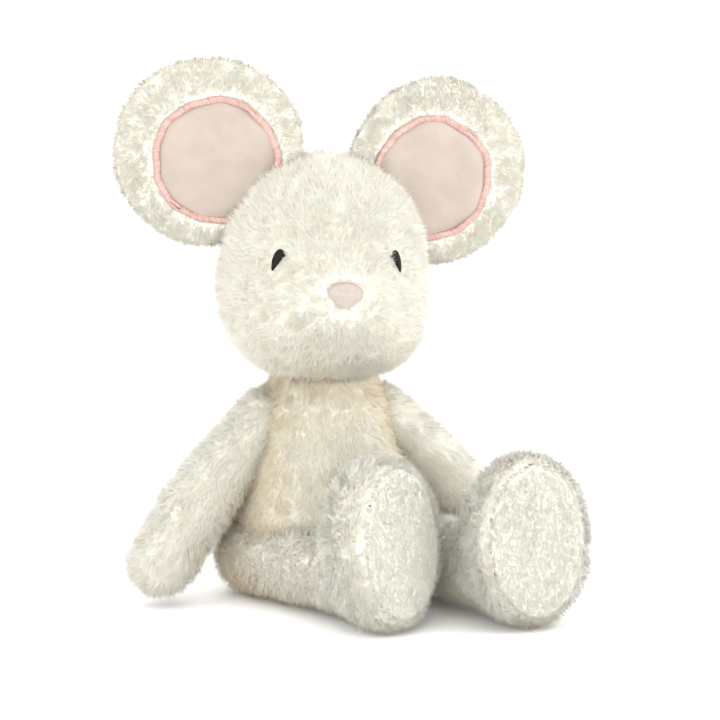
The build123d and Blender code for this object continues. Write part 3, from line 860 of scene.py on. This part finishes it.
# ---- legs -------------------------------------------------------------------------------------------------------
def build_leg(name):
    side = SIDES[name]
    hip = np.array([side * 33, -16, 19.0])
    leg_way, foot_way = heading(LEG_YAW[name]), heading(FOOT_YAW[name])
    lean = math.radians(FOOT_LEAN)
    normal = unit(foot_way * math.cos(lean) + np.array([0, 0, math.sin(lean)]))
    across = unit(np.cross(normal, (0, 0, 1)))
    up = np.cross(across, normal)
    centre = hip + leg_way * LEG_REACH[name]
    centre[2] = FOOT_HALF_HEIGHT * math.cos(lean) + FOOT_CLEAR
    ankle = centre - normal * 15 - up * 17
    balls = chain(hip, ankle, LEG_RADII)
    for depth, half_w, half_h, thick in FOOT_SLICES:
        balls.append((centre + normal * depth, (half_w, half_h, thick), (across, up, normal)))
    points, faces = blended(balls, 1.6, 9)
    points[:, 2] = np.maximum(points[:, 2], 1.2)  # the leg lies on the ground

    def sole_radius(p):
        """0 at the sole's middle and 1 at its seam."""
        return np.hypot((p - centre) @ across / SOLE_HALF_WIDTH, (p - centre) @ up / SOLE_HALF_HEIGHT)

    def on_sole(p):
        return ((p - centre) @ normal > -SOLE_DEPTH) & (sole_radius(p) < 1)

    # The sole is pressed in behind its seam, and crowned in its middle
    depth = (points - centre) @ normal
    crown = -2.6 + 1.2 * (1 - np.clip(sole_radius(points), 0, 1) ** 2)
    pressed = on_sole(points) * smooth(1.02, 0.95, sole_radius(points))
    points = points + np.outer(pressed * (crown - depth), normal)

    def keep(p):
        front = (p - centre) @ normal > -SOLE_DEPTH
        shorter = np.where(front, 0.7 + 0.3 * smooth(1.0, 1.2, sole_radius(p)), 1.0)
        return shorter * (1 - 0.5 * smooth(5, 1.5, p[:, 2]))

    def comb(p):
        t = smooth(-45, -15, (p - centre) @ normal)[:, None]
        away = unit((p - centre) - np.outer((p - centre) @ normal, normal))
        foot = away * 0.5 + normal * 0.7
        return unit((leg_way + np.array([0, 0, -0.35])) * (1 - t) + foot * t)

    seam = np.cross(leg_way, (0, 0, 1))
    seam = seam * np.sign(seam[0] * side)
    panels = {
        f"{name}_leg_outer_panel": lambda p: ((p - hip) @ seam > 0.6) & ~on_sole(p),
        f"{name}_leg_inner_panel": lambda p: ((p - hip) @ seam <= 0.6) & ~on_sole(p),
    }

    # Painted shade: warmer, darker fur near the hip, on the lower back of the foot and close to the floor
    def warmth_and_crease_shade(p):
        along_leg = (p - hip) @ leg_way
        behind = smooth(-30, -42, (p - centre) @ normal) * smooth(0, -20, (p - centre) @ up)
        return 0.1 + 0.6 * smooth(34, 4, along_leg) + 0.22 * behind + 0.4 * smooth(14, 3, p[:, 2])

    furred(f"{name}_leg", points, faces, panels, comb, warmth_and_crease_shade, keep=keep, **LIMB_FUR)
    normals = normals_of(points, faces)
    used, local = part_of(faces, on_sole(np.array([points[list(f)].mean(axis=0) for f in faces])))
    skin_piece(f"{name}_sole", f"{name}_leg", points[used], local)
    roots, facing = scatter(points[used], local, normals[used], 4.0 * DENSITY)
    down = np.tile(-up, (len(roots), 1))
    long = np.full(len(roots), 2.3)
    pile = fibres(f"{name}_sole_pile", roots, facing, down, long, SOLE_SHADES, width=0.3, tuft=2.2, pull=0.4)
    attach(pile, f"{name}_leg")


# ---- tail, label and what is inside -----------------------------------------------------------------------------
def build_tail():
    knots = np.array([TAIL_ROOT + o for o in TAIL_OFFSETS])
    fine = np.linspace(0, len(knots) - 1, 70)
    path = np.stack([np.interp(fine, range(len(knots)), knots[:, i]) for i in range(3)], axis=1)
    for _ in range(60):
        path[1:-1] = path[1:-1] * 0.5 + (path[:-2] + path[2:]) * 0.25
    balls = [(p, (np.interp(t, range(len(TAIL_RADII)), TAIL_RADII),) * 3) for p, t in zip(path, fine)]
    points, faces = blended(balls, 0.9, 5)
    skin_piece("tail_cover", "tail", points, faces)
    roots, facing = scatter(points, faces, normals_of(points, faces), 3.2 * DENSITY)
    nearest = np.array([np.argmin(((path - r) ** 2).sum(axis=1)) for r in roots])
    way = unit(np.gradient(path, axis=0))[nearest]
    long = np.full(len(roots), 2.0)
    pile = fibres("tail_cover_pile", roots, facing, way, long, SOLE_SHADES, width=0.3, tuft=2, pull=0.3)
    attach(pile, "tail")


def dress_cad_nodes():
    """Gives each CAD node that stays in view its own cloth."""
    for node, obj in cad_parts.items():
        if "stuffing" in node or "wad" in node:
            material = WADDING
        elif node == "pellets":
            material = GRANULE
        elif node == "pellet_bag":
            material = CALICO
        elif node == "care_label":
            material = RIBBON
        else:
            continue
        obj.data.materials.clear()
        obj.data.materials.append(material)


# ---- stage ------------------------------------------------------------------------------------------------------
LAMPS = (  # place, target, watts, size, in metres
    ((0.1, -0.6, 1.5), (0, -0.03, 0.05), 5.5, 1.6),
    ((-1.3, -0.4, 0.5), (0, -0.03, 0.05), 4, 1.0),
    ((1.3, -0.6, 0.4), (0.03, -0.03, 0.05), 7, 1.0),
    ((-0.6, -1.2, 0.3), (0, -0.08, 0.03), 1.2, 0.8),
    ((0.1, 1.1, 1.2), (0, 0, 0.1), 5, 1.2),
)
SKY_STRENGTH = 1.62
FLOOR_REACH = 6.0
CAMERA_AZIMUTH, CAMERA_ELEVATION, CAMERA_DISTANCE, CAMERA_LENS = -13, 10, 1.312, 141
CAMERA_TARGET = Vector((0.0139, -0.0313, 0.1118))


def aimed(direction):
    """The turn that points a lamp or a camera along direction."""
    return direction.to_track_quat("-Z", "Y").to_euler()


def build_stage():
    floor_material = cloth("studio_paper", (0.90, 0.90, 0.90), (0.92, 0.92, 0.92), 4, 0.0, roughness=0.9, sheen=0)
    mesh = bpy.data.meshes.new("studio_floor")
    corners = [(x * FLOOR_REACH, y * FLOOR_REACH, 0) for x, y in ((-1, -1), (1, -1), (1, 1), (-1, 1))]
    mesh.from_pydata(corners, [], [(0, 1, 2, 3)])
    mesh.materials.append(floor_material)
    floor = bpy.data.objects.new("studio_floor", mesh)
    bpy.context.scene.collection.objects.link(floor)
    world = bpy.data.worlds.new("studio")
    bpy.context.scene.world = world
    world.use_nodes = True
    world.node_tree.nodes["Background"].inputs["Color"].default_value = (1, 1, 1, 1)
    world.node_tree.nodes["Background"].inputs["Strength"].default_value = SKY_STRENGTH
    for place, target, power, size in LAMPS:
        light = bpy.data.lights.new("softbox", "AREA")
        light.energy = power
        light.shape = "DISK"
        light.size = size
        lamp = bpy.data.objects.new("softbox", light)
        lamp.location = place
        lamp.rotation_euler = aimed(Vector(target) - Vector(place))
        bpy.context.scene.collection.objects.link(lamp)
    bpy.context.scene.view_settings.view_transform = "Standard"
    bpy.context.scene.cycles.diffuse_bounces = 8  # light passes through pale fur many times


def build_camera():
    azimuth, elevation = math.radians(CAMERA_AZIMUTH), math.radians(CAMERA_ELEVATION)
    level = math.cos(elevation)
    back = Vector((math.sin(azimuth) * level, -math.cos(azimuth) * level, math.sin(elevation)))
    data = bpy.data.cameras.new("camera")
    data.sensor_width = 36
    data.lens = CAMERA_LENS
    camera = bpy.data.objects.new("camera", data)
    camera.location = CAMERA_TARGET + back * CAMERA_DISTANCE
    camera.rotation_euler = aimed(-back)
    bpy.context.scene.collection.objects.link(camera)
    bpy.context.scene.camera = camera


build_head()
build_torso()
for limb_side in SIDES:
    build_ear(limb_side)
    build_arm(limb_side)
    build_leg(limb_side)
build_tail()
dress_cad_nodes()
build_stage()
build_camera()
